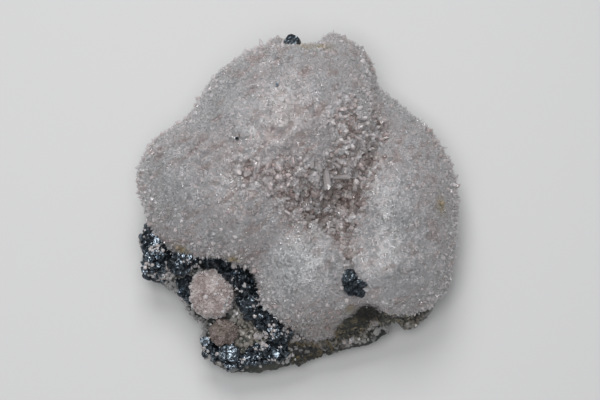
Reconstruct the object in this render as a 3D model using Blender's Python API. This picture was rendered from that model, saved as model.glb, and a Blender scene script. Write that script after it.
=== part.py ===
"""A hand specimen of rhodochrosite, lying on the broken underside of its rock.

A pale pink botryoidal crust, grown all over with small quartz points, covers a piece of grey vein rock.
Along the crust's lower edge the rock is bare, and carries clusters of dark galena and two pink nodules.
X is the specimen's width, Y runs up its face and Z points out of it. Sizes are in millimetres until a
mesh is made.
"""

import math
import random

import bmesh
import bpy
import numpy as np
from mathutils import Euler, Matrix, Vector, noise

MM = 0.001
GAP = 0.38

# The crust: rounded lobes that have grown into each other, each a centre and three radii
CRUST_LOBES = (
    ((-3.6, 22.0, 28.0), (25.6, 23.5, 27.5)),
    ((-15.0, 13.0, 27.0), (18.0, 17.5, 22.5)),
    ((-31.0, 8.0, 22.0), (16.5, 14.0, 18.5)),
    ((-31.0, -4.5, 16.5), (14.0, 10.5, 12.0)),
    ((-19.5, 1.0, 24.0), (21.0, 16.5, 20.5)),
    ((4.5, 10.5, 24.0), (16.0, 14.5, 21.0)),
    ((12.6, 40.0, 21.0), (9.0, 9.5, 14.0)),
    ((23.0, 26.5, 12.5), (9.5, 9.0, 10.5)),
    ((26.0, -2.0, 17.0), (15.5, 20.0, 22.0)),
    ((32.0, -1.0, 15.0), (15.0, 21.5, 17.0)),
    ((31.5, 13.5, 13.5), (10.5, 13.0, 16.0)),
    ((25.5, -18.5, 17.0), (15.0, 13.0, 18.5)),
    ((31.0, -18.0, 14.5), (13.0, 12.5, 14.5)),
    ((26.5, -23.0, 15.5), (13.5, 10.0, 14.0)),
    ((4.0, -21.5, 22.0), (12.0, 11.5, 16.5)),
    ((1.5, -25.5, 21.0), (12.5, 10.5, 15.0)),
    ((9.0, -32.0, 11.0), (13.0, 9.5, 9.5)),
    ((-9.0, -7.0, 19.0), (14.0, 11.0, 18.0)),
    ((12.0, -14.0, 11.0), (9.0, 12.0, 10.0)),
    ((8.0, -4.0, 15.0), (13.0, 12.0, 14.0)),
)
LOBE_BLEND = 2.6
CRUST_CENTRE = (0.0, 2.0, 15.0)
CRUST_FREQUENCY = 11
CRUST_EVENING = 14
FURTHEST = 70.0
LINE_STEPS = 60
LINE_HALVINGS = 10
CRUST_LOWEST_ANGLE = -7.0
CRUST_FLOOR = 13.5
FLOOR_WAVE = 1.8
FLOOR_WAVELENGTH = 14.0

# The two bare knobs on the crust's upper edge, each a centre and a radius
KNOBS = (
    ((-6.8, 47.2, 25.0), 3.4),
    ((10.2, 48.6, 25.0), 3.4),
)

# Quartz points: how far a tip stands out of the crust, how far it leans, and how deep the seams lie
POINT_HEIGHT = 1.5
POINT_LEAN = 0.55
SEAM_DEPTH = 0.5
POINT_LENGTHS = (0.25, 1.25)
POINT_SHORTENING = 8.0
SHORTEST_POINT = 0.1
SHALLOWEST_SEAM = 0.3
FOOT_CLEARANCE = 1.2

# The rock, as its outline seen from above, anticlockwise from the left
ROCK_OUTLINE = (
    (-45.5, -3.0),
    (-48.6, -10.0),
    (-45.8, -19.0),
    (-43.4, -22.0),
    (-38.0, -25.0),
    (-32.7, -31.4),
    (-28.6, -35.5),
    (-29.6, -42.0),
    (-26.0, -46.0),
    (-20.5, -49.3),
    (-11.5, -49.3),
    (-3.5, -47.5),
    (1.0, -44.2),
    (12.0, -43.0),
    (23.5, -40.5),
    (26.6, -37.5),
    (23.8, -34.2),
    (28.5, -33.6),
    (33.0, -36.0),
    (38.5, -32.0),
    (42.5, -22.0),
    (44.0, -9.0),
    (44.0, 4.0),
    (40.0, 17.0),
    (32.0, 26.0),
    (23.5, 34.0),
    (19.5, 42.0),
    (12.0, 46.0),
    (-4.0, 46.5),
    (-14.0, 44.0),
    (-24.0, 35.0),
    (-33.0, 23.0),
    (-42.0, 16.5),
    (-44.5, 7.0),
)
# Each level of the rock is its height and how wide it is, as a share of the outline
ROCK_LEVELS = ((0.0, 0.88), (3.0, 0.96), (7.0, 0.985), (10.5, 1.0), (13.5, 0.985), (16.5, 0.94))
ROCK_EDGE = 9.5
ROCK_DIVISIONS = 5
ROCK_LUMPS, ROCK_CRUMBS = 6.5, 2.3
CRUMB_SHARE = 0.8
ROCK_ROUGHNESS = 1.5
ROCK_LOWEST = 1.0
SHELF_START = -20.0
SHELF_SLOPE = 0.11

# The pink nodules, each a centre, three radii, how finely it is divided and its points' height
NODULES = {
    "pink_nodule": ((-26.2, -27.3, 18.0), (6.6, 7.4, 5.8), 3, 0.45),
    "lower_pink_nodule": ((-23.2, -38.6, 15.5), (4.6, 4.2, 4.0), 2, 0.5),
}
NODULE_LEAN = 0.3

# Galena: the line that each cluster follows, its number of crystals, their size and their scatter
GALENA = {
    "galena_left_edge": (((-44.6, -8.3, 16.0), (-44.3, -13.8, 16.5), (-43.2, -18.8, 15.5)), 8, 4.6, 0.9),
    "galena_arc": (
        (
            (-37.0, -17.9, 17.5),
            (-33.9, -16.9, 18.0),
            (-29.6, -15.5, 18.8),
            (-25.7, -15.7, 19.2),
            (-22.0, -17.8, 19.4),
            (-18.7, -21.6, 19.4),
            (-16.6, -26.2, 19.2),
            (-14.1, -31.3, 18.6),
            (-10.8, -34.7, 18.0),
            (-5.3, -38.6, 17.0),
        ),
        20,
        4.2,
        0.9,
    ),
    "galena_foot": (
        (
            (-27.0, -42.4, 12.5),
            (-22.3, -45.3, 12.5),
            (-16.3, -46.3, 13.0),
            (-10.8, -45.0, 13.0),
            (-6.2, -43.6, 13.5),
        ),
        10,
        4.0,
        0.8,
    ),
    "galena_by_nodule": (((-34.0, -24.4, 16.5), (-32.8, -27.4, 16.0)), 3, 3.4, 0.4),
    "galena_in_groove": (((13.8, -24.4, 33.2), (15.8, -27.2, 30.8)), 4, 3.6, 0.5),
    "galena_at_top": (((-2.4, 47.6, 21.0), (-0.6, 47.4, 20.5)), 3, 3.6, 0.4),
}
CORE_WIDTH = 0.32
CORE_SIDES = 6
CRYSTAL_SIZES = (0.65, 1.15)
CORNER_CUT = 0.28

# The share of each piece's triangles that is kept, slivers going first
CRUST_KEPT = 0.9
ROCK_KEPT = 0.55
SMALL_KEPT = 0.8


def material(name, colour, roughness, metallic=0.0):
    made = bpy.data.materials.new(name)
    made.use_nodes = True
    shader = made.node_tree.nodes["Principled BSDF"]
    shader.inputs["Base Color"].default_value = (*colour, 1.0)
    shader.inputs["Roughness"].default_value = roughness
    shader.inputs["Metallic"].default_value = metallic
    made.diffuse_color = (*colour, 1.0)
    return made


def node_from(bm, name, finish):
    """The bmesh, in millimetres, as an object in metres."""
    bmesh.ops.recalc_face_normals(bm, faces=bm.faces)
    bmesh.ops.scale(bm, vec=Vector((MM, MM, MM)), verts=bm.verts)
    mesh = bpy.data.meshes.new(name)
    bm.to_mesh(mesh)
    bm.free()
    mesh.materials.append(finish)
    made = bpy.data.objects.new(name, mesh)
    bpy.context.scene.collection.objects.link(made)
    return made


def geodesic(frequency):
    """A sphere of even triangles: each face of an icosahedron divided this many times along its edges."""
    bm = bmesh.new()
    bmesh.ops.create_icosphere(bm, subdivisions=1, radius=1.0)
    if frequency > 1:
        bmesh.ops.subdivide_edges(bm, edges=bm.edges[:], cuts=frequency - 1, use_grid_fill=True)
    for vertex in bm.verts:
        vertex.co.normalize()
    return bm


def outside_lobes(points):
    """How far points lie outside the crust's lobes, which melt into each other; negative inside."""
    total = 0.0
    for centre, radii in CRUST_LOBES:
        scaled = (points - np.array(centre)) / np.array(radii)
        near = np.linalg.norm(scaled, axis=-1)
        slope = np.linalg.norm(scaled / np.array(radii), axis=-1) + 1e-9
        total = total + np.exp(-near * (near - 1.0) / slope / LOBE_BLEND)
    return -LOBE_BLEND * np.log(total + 1e-300)


def lay_on_lobes(bm):
    """Moves each vertex along its line from the crust's centre, onto the lobes' outermost surface."""
    centre = np.array(CRUST_CENTRE)
    lines = np.array([(v.co - Vector(CRUST_CENTRE)).normalized() for v in bm.verts])
    steps = np.linspace(FURTHEST, 0.0, LINE_STEPS)
    within = outside_lobes(centre + lines[:, None, :] * steps[None, :, None]) < 0.0
    first = np.argmax(within, axis=1)
    near, far = steps[first], steps[np.maximum(first - 1, 0)]
    for _ in range(LINE_HALVINGS):
        middle = (near + far) / 2.0
        inside = outside_lobes(centre + lines * middle[:, None]) < 0.0
        near, far = np.where(inside, middle, near), np.where(inside, far, middle)
    for vertex, line, distance in zip(bm.verts, lines, near):
        vertex.co = Vector(CRUST_CENTRE) + Vector(line) * distance


def grow_points(bm, height, lean, seam, seed, shorten=None):
    """Turns each vertex into a quartz point: a low pyramid that leans its own way."""
    chance = random.Random(seed)
    edges = [e for e in bm.edges if not e.is_boundary]
    tips = [(v, v.normal.copy()) for v in bm.verts if not v.is_boundary]
    made = bmesh.ops.poke(bm, faces=bm.faces[:])
    bmesh.ops.rotate_edges(bm, edges=edges, use_ccw=False)
    bm.normal_update()
    for vertex in made["verts"]:
        vertex.co -= vertex.normal * seam * chance.uniform(SHALLOWEST_SEAM, 1.0)
    for vertex, normal in tips:
        sideways = Vector([chance.gauss(0.0, lean) for _ in range(3)])
        length = height * chance.uniform(*POINT_LENGTHS)
        if shorten:
            length *= shorten(vertex.co)
        vertex.co += (normal + sideways).normalized() * length


def crust_floor(x, y):
    """The height of the wavy seat where crust meets rock."""
    return CRUST_FLOOR + FLOOR_WAVE * noise.noise(Vector((x, y, 0.0)) / FLOOR_WAVELENGTH)


def points_near_foot(place):
    """Quartz points are shorter near the crust's foot: this share of their length on its face."""
    return min(1.0, max(SHORTEST_POINT, (place.z - CRUST_FLOOR) / POINT_SHORTENING))


def crust_form(grow=None):
    """The crust as a cap of lobes, closed underneath; with quartz points, or grown by a clearance."""
    bm = geodesic(CRUST_FREQUENCY)
    lowest = math.sin(math.radians(CRUST_LOWEST_ANGLE))
    bmesh.ops.delete(bm, geom=[v for v in bm.verts if v.co.z < lowest], context="VERTS")
    bmesh.ops.translate(bm, vec=Vector(CRUST_CENTRE), verts=bm.verts)
    lay_on_lobes(bm)
    for _ in range(CRUST_EVENING):
        inner = [v for v in bm.verts if not v.is_boundary]
        bmesh.ops.smooth_vert(bm, verts=inner, factor=0.5, use_axis_x=True, use_axis_y=True, use_axis_z=True)
        lay_on_lobes(bm)
    rim = [v for v in bm.verts if v.is_boundary]
    for vertex in rim:
        vertex.co.z = crust_floor(vertex.co.x, vertex.co.y)
    bm.normal_update()
    if grow is None:
        grow_points(bm, POINT_HEIGHT, POINT_LEAN, SEAM_DEPTH, seed=5, shorten=points_near_foot)
    else:
        grown = [(v, v.co + v.normal * grow) for v in bm.verts]
        for vertex, place in grown:
            vertex.co = place
        for vertex in rim:
            vertex.co.z = crust_floor(vertex.co.x, vertex.co.y) - GAP
    underside = bmesh.ops.contextual_create(bm, geom=[e for e in bm.edges if e.is_boundary])["faces"]
    bmesh.ops.poke(bm, faces=underside)
    return bm


def knob_form(centre, radius):
    bm = geodesic(3)
    bmesh.ops.scale(bm, vec=Vector((radius,) * 3), verts=bm.verts)
    bmesh.ops.translate(bm, vec=Vector(centre), verts=bm.verts)
    return bm


def rock_form():
    """The rock: its outline in levels, divided and roughened everywhere but on its flat base."""
    bm = bmesh.new()
    middle = sum((Vector((x, y, 0.0)) for x, y in ROCK_OUTLINE), Vector()) / len(ROCK_OUTLINE)
    rings = []
    for height, width in ROCK_LEVELS:
        offsets = [(Vector((x, y, 0.0)) - middle) * width for x, y in ROCK_OUTLINE]
        rings.append([bm.verts.new(middle + offset + Vector((0.0, 0.0, height))) for offset in offsets])
    loops = [[bm.edges.new((ring[i - 1], ring[i])) for i in range(len(ring))] for ring in rings]
    for lower, upper in zip(loops, loops[1:]):
        bmesh.ops.bridge_loops(bm, edges=lower + upper)
    base = bm.faces.new(rings[0])
    bm.faces.new(rings[-1])
    bmesh.ops.recalc_face_normals(bm, faces=bm.faces)
    for _ in range(ROCK_DIVISIONS):
        bmesh.ops.triangulate(bm, faces=[f for f in bm.faces if f is not base and len(f.verts) > 3])
        long = [e for e in bm.edges if e.calc_length() > ROCK_EDGE and base not in e.link_faces]
        bmesh.ops.subdivide_edges(bm, edges=long, cuts=1)
    bmesh.ops.triangulate(bm, faces=[f for f in bm.faces if f is not base and len(f.verts) > 3])
    bm.normal_update()
    flat = set(base.verts)
    raised = [(v, v.normal.copy()) for v in bm.verts if v not in flat]
    for vertex, normal in raised:
        rough = noise.noise(vertex.co / ROCK_LUMPS) + CRUMB_SHARE * noise.noise(vertex.co / ROCK_CRUMBS)
        vertex.co.z -= SHELF_SLOPE * max(0.0, SHELF_START - vertex.co.y) * vertex.co.z / ROCK_LEVELS[-1][0]
        vertex.co += normal * rough * ROCK_ROUGHNESS
        vertex.co.z = max(vertex.co.z, ROCK_LOWEST)
    return bm


def nodule_form(centre, radii, frequency, height, seed):
    bm = geodesic(frequency)
    bmesh.ops.scale(bm, vec=Vector(radii), verts=bm.verts)
    bmesh.ops.translate(bm, vec=Vector(centre), verts=bm.verts)
    bm.normal_update()
    grow_points(bm, height, NODULE_LEAN, height / 2.0, seed)
    return bm


def along(line, share):
    """The point at this share of the way along a line of points."""
    place = share * (len(line) - 1)
    i = min(int(place), len(line) - 2)
    return Vector(line[i]).lerp(Vector(line[i + 1]), place - i)


def galena_crystals(line, count, size, scatter, seed, grow=0.0):
    """Cubes with cut corners, strewn along a line, each turned its own way."""
    chance = random.Random(seed)
    bm = bmesh.new()
    for i in range(count):
        side = size * chance.uniform(*CRYSTAL_SIZES)
        centre = along(line, i / (count - 1)) + Vector([chance.uniform(-scatter, scatter) for _ in range(3)])
        turn = Euler([chance.uniform(0.0, math.tau) for _ in range(3)]).to_matrix().to_4x4()
        cube = bmesh.ops.create_cube(bm, size=side + 2.0 * grow, matrix=Matrix.Translation(centre) @ turn)
        cut = side * CORNER_CUT + (3.0 - math.sqrt(3.0)) * grow
        if i % 2 == 0:
            bmesh.ops.bevel(bm, geom=cube["verts"], affect="VERTICES", offset=cut, segments=1, profile=0.5,
                            material=-1)
    return bm


def galena_core(line, size, grow=0.0):
    """The lump that a cluster's crystals have grown together in: a flat-sided bar along its line."""
    bm = bmesh.new()
    rings = []
    for i, place in enumerate(line):
        ahead = Vector(line[min(i + 1, len(line) - 1)]) - Vector(line[max(i - 1, 0)])
        turn = ahead.to_track_quat("Z", "Y").to_matrix().to_4x4()
        radius = size * CORE_WIDTH + grow
        placed = Matrix.Translation(place) @ turn
        rings.append(bmesh.ops.create_circle(bm, segments=CORE_SIDES, radius=radius, matrix=placed)["verts"])
    loops = [[bm.edges.get((ring[i - 1], ring[i])) for i in range(CORE_SIDES)] for ring in rings]
    for lower, upper in zip(loops, loops[1:]):
        bmesh.ops.bridge_loops(bm, edges=lower + upper)
    bm.faces.new(rings[0])
    bm.faces.new(rings[-1])
    return bm


def helper(bm, name):
    """An object that only cuts others or is joined to them."""
    made = node_from(bm, name, None)
    made.hide_render = True
    made.display_type = "WIRE"
    return made


def swollen(source):
    """A helper like the object, with its surface moved out by the gap."""
    bm = bmesh.new()
    bm.from_mesh(source.data)
    bmesh.ops.scale(bm, vec=Vector((1.0 / MM,) * 3), verts=bm.verts)
    bm.normal_update()
    normals = [v.normal.copy() for v in bm.verts]
    for vertex, normal in zip(bm.verts, normals):
        vertex.co += normal * GAP
    return helper(bm, source.name + "_seat")


def bodies(bm):
    """The mesh's separate bodies, as sets of vertices, smallest first."""
    left, found = set(bm.verts), []
    while left:
        body, waiting = set(), [left.pop()]
        while waiting:
            vertex = waiting.pop()
            body.add(vertex)
            joined = {edge.other_vert(vertex) for edge in vertex.link_edges} & left
            left -= joined
            waiting.extend(joined)
        found.append(body)
    return sorted(found, key=len)


def combine(target, other, operation):
    """Joins the other object to this one or cuts it away, and drops any loose chip."""
    change = target.modifiers.new(operation.lower(), "BOOLEAN")
    change.operation = operation
    change.object = other
    change.solver = "EXACT"
    change.use_self = True
    graph = bpy.context.evaluated_depsgraph_get()
    mesh = bpy.data.meshes.new_from_object(target.evaluated_get(graph))
    target.modifiers.clear()
    bm = bmesh.new()
    bm.from_mesh(mesh)
    for chip in bodies(bm)[:-1]:
        bmesh.ops.delete(bm, geom=list(chip), context="VERTS")
    bmesh.ops.triangulate(bm, faces=[f for f in bm.faces if len(f.verts) > 3])
    bm.to_mesh(mesh)
    bm.free()
    target.data = mesh


for old in list(bpy.data.objects):
    bpy.data.objects.remove(old)

quartz = material("quartz", (0.55, 0.50, 0.50), 0.35)
pink_carbonate = material("pink_carbonate", (0.55, 0.40, 0.37), 0.5)
grey_rock = material("grey_rock", (0.20, 0.20, 0.18), 0.8)
lead_grey_metal = material("lead_grey_metal", (0.07, 0.085, 0.10), 0.3, 0.9)

crust = node_from(crust_form(), "rhodochrosite_crust", quartz)
for number, (centre, radius) in enumerate(KNOBS):
    combine(crust, helper(knob_form(centre, radius), f"knob_{number}"), "UNION")
crust_seat = helper(crust_form(grow=FOOT_CLEARANCE), "crust_seat")

nodules = []
for seed, (name, shape) in enumerate(NODULES.items()):
    nodules.append(node_from(nodule_form(*shape, seed), name, pink_carbonate))
nodule_seats = [swollen(nodule) for nodule in nodules]

clusters, cluster_seats = [], []
for seed, (name, (line, count, size, scatter)) in enumerate(GALENA.items()):
    for kept, grow in ((clusters, 0.0), (cluster_seats, GAP)):
        lump = galena_core(line, size, grow)
        made = helper(lump, name + "_seat") if grow else node_from(lump, name, lead_grey_metal)
        crystals = helper(galena_crystals(line, count, size, scatter, seed, grow), name + "_crystals")
        combine(made, crystals, "UNION")
        kept.append(made)

rock = node_from(rock_form(), "vein_rock", grey_rock)
for seat in nodule_seats + cluster_seats:
    combine(crust, seat, "DIFFERENCE")
for nodule in nodules:
    for seat in cluster_seats:
        combine(nodule, seat, "DIFFERENCE")
for seat in [crust_seat] + nodule_seats + cluster_seats:
    combine(rock, seat, "DIFFERENCE")

small = [(made, SMALL_KEPT) for made in nodules + clusters]
for made, share in [(crust, CRUST_KEPT), (rock, ROCK_KEPT)] + small:
    thinner = made.modifiers.new("thin", "DECIMATE")
    thinner.ratio = share

# The origin is the middle of the specimen's box, on the surface that it lies on
pieces = [crust, rock] + nodules + clusters
graph = bpy.context.evaluated_depsgraph_get()
corners = [Vector(corner) for made in pieces for corner in made.evaluated_get(graph).bound_box]
for made in pieces:
    made.location.x = -(min(c.x for c in corners) + max(c.x for c in corners)) / 2.0
    made.location.y = -(min(c.y for c in corners) + max(c.y for c in corners)) / 2.0
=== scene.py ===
import math

import bmesh
import bpy
import numpy as np
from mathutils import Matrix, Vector, kdtree, noise


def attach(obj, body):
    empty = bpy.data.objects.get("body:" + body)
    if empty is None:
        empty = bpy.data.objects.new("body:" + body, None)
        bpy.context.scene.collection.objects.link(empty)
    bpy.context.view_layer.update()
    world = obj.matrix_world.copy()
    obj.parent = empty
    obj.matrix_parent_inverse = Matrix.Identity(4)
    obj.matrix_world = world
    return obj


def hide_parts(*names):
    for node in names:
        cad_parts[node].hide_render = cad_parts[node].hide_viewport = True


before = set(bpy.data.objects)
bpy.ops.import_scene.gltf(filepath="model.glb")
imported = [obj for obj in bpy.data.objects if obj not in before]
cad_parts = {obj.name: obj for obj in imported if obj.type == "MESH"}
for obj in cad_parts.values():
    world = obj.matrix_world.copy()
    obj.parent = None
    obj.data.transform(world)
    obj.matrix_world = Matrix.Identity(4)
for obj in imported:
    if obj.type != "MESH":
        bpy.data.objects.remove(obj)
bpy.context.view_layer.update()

# Vein rock. A broken piece of dark grey-green vein rock under everything, its flat back on the table.
# Its faces are crusty and pitted, and stained ochre along the upper edge and under the right-hand lobe,
# with a notch below the lobes painted near-black as shade.


class Wire:
    """A value on its way through a finish; arithmetic on it adds Math nodes."""

    def __init__(self, finish, socket):
        self.finish = finish
        self.socket = socket

    def maths(self, operation, first, second):
        return self.finish.add("ShaderNodeMath", {"operation": operation}, {0: first, 1: second})

    def __add__(self, other):
        return self.maths("ADD", self, other)

    def __sub__(self, other):
        return self.maths("SUBTRACT", self, other)

    def __rsub__(self, other):
        return self.maths("SUBTRACT", other, self)

    def __mul__(self, other):
        return self.maths("MULTIPLY", self, other)

    __radd__ = __add__
    __rmul__ = __mul__


class Finish:
    """A material built round one Principled shader."""

    def __init__(self, name, **constants):
        self.material = bpy.data.materials.new(name)
        self.material.use_nodes = True
        self.tree = self.material.node_tree
        self.shader = self.tree.nodes["Principled BSDF"]
        for key, value in constants.items():
            self.put(key.replace("_", " ").title().replace("Ior", "IOR"), value)

    def put(self, socket, value):
        """Sets one of the shader's sockets, or links a wire to it."""
        if isinstance(value, Wire):
            self.tree.links.new(value.socket, self.shader.inputs[socket])
        else:
            self.shader.inputs[socket].default_value = value

    def add(self, kind, settings, inputs, output=0):
        """Adds a node: its settings first, then the values or links of its sockets."""
        node = self.tree.nodes.new(kind)
        for key, value in settings.items():
            if key == "stops":
                ramp = node.color_ramp.elements
                while len(ramp) < len(value):
                    ramp.new(1.0)
                for stop, (place, colour) in zip(ramp, value):
                    stop.position = place
                    stop.color = (*colour, 1.0)
            else:
                setattr(node, key, value)
        for key, value in inputs.items():
            if isinstance(value, Wire):
                self.tree.links.new(value.socket, node.inputs[key])
            else:
                node.inputs[key].default_value = value
        return Wire(self, node.outputs[output])

    def place(self):
        """Where on the specimen a point of the surface is, in metres."""
        return self.add("ShaderNodeTexCoord", {}, {}, "Object")

    def trait(self, name):
        """A value that the mesh itself carries."""
        return self.add("ShaderNodeAttribute", {"attribute_name": name}, {}, "Fac")

    def grain(self, size, detail=3.0, roughness=0.55):
        """Noise whose lumps are about this many metres across."""
        return self.add("ShaderNodeTexNoise", {}, {"Vector": self.place(), "Scale": 1.0 / size,
                                                   "Detail": detail, "Roughness": roughness})

    def near(self, centre, reach):
        """1 at a place on the specimen, falling to 0 this far away."""
        ends = {0: self.place(), 1: centre}
        away = self.add("ShaderNodeVectorMath", {"operation": "DISTANCE"}, ends, "Value")
        return self.between(away, reach, 0.0)

    def near_any(self, spots):
        """The same for a list of spots, each a centre and a reach, added up."""
        return sum(self.near(centre, reach) for centre, reach in spots)

    def between(self, value, low, high):
        """0 at the low value, 1 at the high one, and smooth between them."""
        return self.add("ShaderNodeMapRange", {"interpolation_type": "SMOOTHSTEP"},
                        {"Value": value, "From Min": low, "From Max": high})

    def mix(self, share, first, second):
        """The first colour, with this share of the second over it."""
        inputs = {"Factor": share}
        for number, colour in ((6, first), (7, second)):
            inputs[number] = colour if isinstance(colour, Wire) else (*colour, 1.0)
        return self.add("ShaderNodeMix", {"data_type": "RGBA"}, inputs, 2)

    def ramp(self, value, *stops):
        """A colour that runs through stops, each a value and its colour."""
        return self.add("ShaderNodeValToRGB", {"stops": stops}, {"Fac": value})

    def bump(self, height, depth):
        """Dents the shading by a height from 0 to 1 that stands for this many metres."""
        self.put("Normal", self.add("ShaderNodeBump", {}, {"Height": height, "Distance": depth}))


def merged(node):
    """A copy of a node's mesh with its loose triangles joined up."""
    form = bmesh.new()
    form.from_mesh(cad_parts[node].data)
    bmesh.ops.remove_doubles(form, verts=form.verts, dist=1e-6)
    mesh = bpy.data.meshes.new(node + "_copy")
    form.to_mesh(mesh)
    form.free()
    mesh.shade_flat()
    return mesh


def skin_of(node, voxel, smoothing):
    """The node's form as an even fine skin, its coarse points smoothed down to lumps."""
    holder = bpy.data.objects.new(node + "_holder", merged(node))
    bpy.context.scene.collection.objects.link(holder)
    even = holder.modifiers.new("even", "REMESH")
    even.mode = "VOXEL"
    even.voxel_size = voxel
    even.use_smooth_shade = True
    soft = holder.modifiers.new("soft", "SMOOTH")
    soft.factor = 0.5
    soft.iterations = smoothing
    graph = bpy.context.evaluated_depsgraph_get()
    skin = bpy.data.meshes.new_from_object(holder.evaluated_get(graph))
    bpy.data.objects.remove(holder)
    return skin


def piece_from(mesh, name, finish, slot, *nodes):
    """Puts a mesh on the specimen as a piece of its own."""
    mesh.name = name
    mesh.materials.clear()
    mesh.materials.append(finish.material)
    piece = bpy.data.objects.new(name, mesh)
    bpy.context.scene.collection.objects.link(piece)
    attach(piece, "root")
    if nodes:
        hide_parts(*nodes)


def places_and_ways(mesh):
    """A mesh's vertex places and outward ways, as arrays."""
    count = len(mesh.vertices)
    places, ways = np.empty(count * 3), np.empty(count * 3)
    mesh.vertices.foreach_get("co", places)
    mesh.vertices.foreach_get("normal", ways)
    return places.reshape(-1, 3), ways.reshape(-1, 3)


def lumpy(places, size, seed=0.0):
    """Slow noise from -1 to 1 at many places, its lumps about this many metres across."""
    start = Vector((seed, 0.0, 0.0))
    return np.array([noise.noise(Vector(place / size) + start) for place in places])


def roughen(mesh, *layers, flat_below=None):
    """Moves a skin in and out by layers of noise, each a lump size and a height in metres."""
    places, ways = places_and_ways(mesh)
    shifts = sum(height * lumpy(places, size) for size, height in layers)
    if flat_below:
        shifts *= np.clip((places[:, 2] - flat_below) / flat_below, 0.0, 1.0)
    places = places + ways * shifts[:, None]
    if flat_below:
        places[:, 2] = np.maximum(places[:, 2], 0.0)
    mesh.vertices.foreach_set("co", places.ravel())
    mesh.update()


ROCK_VOXEL, ROCK_SMOOTHING = 0.0008, 2
ROCK_LUMPS = ((0.007, 0.0012), (0.0028, 0.0009), (0.0013, 0.0005))
BACK_LEFT_FLAT = 0.0008
ROCK_DARK, ROCK_MIDDLE, ROCK_PALE = (0.022, 0.026, 0.025), (0.042, 0.048, 0.044), (0.085, 0.087, 0.076)
# The notch colour is the near-black painted shade of the hollow under the lobes
CRUMBS, OCHRE_DUST, NOTCH_SHADE = (0.20, 0.20, 0.19), (0.17, 0.125, 0.055), (0.012, 0.011, 0.009)

# Spots on the specimen, each a centre and how far it reaches
OCHRE_ON_ROCK = (
    ((0.034, -0.036, 0.012), 0.012),
    ((0.018, -0.037, 0.014), 0.009),
    ((0.004, 0.044, 0.016), 0.016),
)
DARK_NOTCH, NOTCH_REACH = (0.0225, -0.0355, 0.0135), 0.007
rock_skin = skin_of("vein_rock", ROCK_VOXEL, ROCK_SMOOTHING)
roughen(rock_skin, *ROCK_LUMPS, flat_below=BACK_LEFT_FLAT)

rock_finish = Finish("vein_rock_finish", roughness=0.75, specular_ior_level=0.4)
rock_colour = rock_finish.ramp(rock_finish.grain(0.006, 6.0), (0.30, ROCK_DARK), (0.50, ROCK_MIDDLE),
                               (0.70, ROCK_PALE))
crumbs = rock_finish.between(rock_finish.grain(0.0012, 2.0), 0.60, 0.70)
rock_colour = rock_finish.mix(crumbs * 0.7, rock_colour, CRUMBS)
dusting = rock_finish.between(rock_finish.grain(0.0035, 4.0), 0.42, 0.58)
ochre = rock_finish.near_any(OCHRE_ON_ROCK) * dusting
rock_colour = rock_finish.mix(ochre * 0.8, rock_colour, OCHRE_DUST)
# Painted shade: the notch under the lobes is painted near-black
rock_colour = rock_finish.mix(rock_finish.near(DARK_NOTCH, NOTCH_REACH) * 0.85, rock_colour, NOTCH_SHADE)
rock_finish.put("Base Color", rock_colour)
rock_finish.bump(rock_finish.grain(0.0009, 4.0), 0.0005)
piece_from(rock_skin, "vein_rock_broken", rock_finish, "vein_rock", "vein_rock")

# Rhodochrosite crust. Rounded lobes of pale pink carbonate grown into each other on the rock, seen in
# the seams between the quartz points that cover it. In the hollow under the big dome it has grown in
# clumps with brown seams, and along its lower right edge dark rock and rust take over from it, partly as
# painted shade under the lobes, with a notch there painted near-black as shade.

CRUST_VOXEL, CRUST_SMOOTHING = 0.0007, 60
CRUST_LUMPS = ((0.011, 0.0005), (0.0038, 0.0003))
CRUST_SWELL = 0.0006
CLUMP_SIZE, CLUMP_HEIGHT, CLUMP_WAVER, CLUMP_SEAM = 0.0036, 0.0019, 0.0006, 0.42
BANDS_RUN, BAND_LENGTH, BAND_WIDTH = math.radians(42.0), 0.0050, 0.0017
CRUST_PALE, CRUST_PINK, CRUST_DEEP = (0.53, 0.48, 0.48), (0.42, 0.335, 0.325), (0.16, 0.105, 0.09)
CRUST_MILKY, CRUST_COOL, CRUST_SEAM = (0.54, 0.52, 0.53), (0.48, 0.50, 0.51), (0.10, 0.068, 0.056)
CRUST_OCHRE = (0.36, 0.25, 0.10)
EDGE_ROCK, EDGE_RUST, NOTCH_SHADE_ON_CRUST = (0.024, 0.025, 0.022), (0.12, 0.095, 0.050), (0.008, 0.007, 0.006)
COOL_PATCHES = (
    ((0.0291, -0.0102, 0.0378), 0.014), ((-0.0050, -0.0240, 0.0360), 0.012),
    ((-0.0234, 0.0255, 0.0450), 0.016), ((-0.0381, 0.0003, 0.0378), 0.014),
    ((0.0300, -0.0260, 0.0290), 0.014), ((0.0015, -0.0230, 0.0385), 0.014),
)
WARM_PATCHES = (((-0.0009, 0.0143, 0.0549), 0.016), ((-0.0095, 0.0026, 0.0489), 0.014))
# Spots where the quartz points are painted paler and less brown: painted light on the dome
PAINTED_LIGHT_PATCHES = (((-0.0095, 0.0026, 0.0489), 0.014), ((0.0134, 0.0170, 0.0504), 0.009))
# Spots where the quartz points are painted greyer and browner: painted shade on the middle lobe's lower
# side
PAINTED_SHADE_PATCHES = (((0.0030, -0.0375, 0.0230), 0.012), ((0.0100, -0.0385, 0.0220), 0.009))
OCHRE_ON_CRUST = (
    ((-0.0351, -0.0160, 0.0231), 0.0042), ((-0.0194, -0.0193, 0.0264), 0.0034),
    ((0.0423, -0.0040, 0.0299), 0.0046), ((0.0020, 0.0425, 0.0420), 0.0050),
    ((0.0065, 0.0434, 0.0357), 0.0065), ((0.0150, -0.0333, 0.0250), 0.0034),
)
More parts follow.
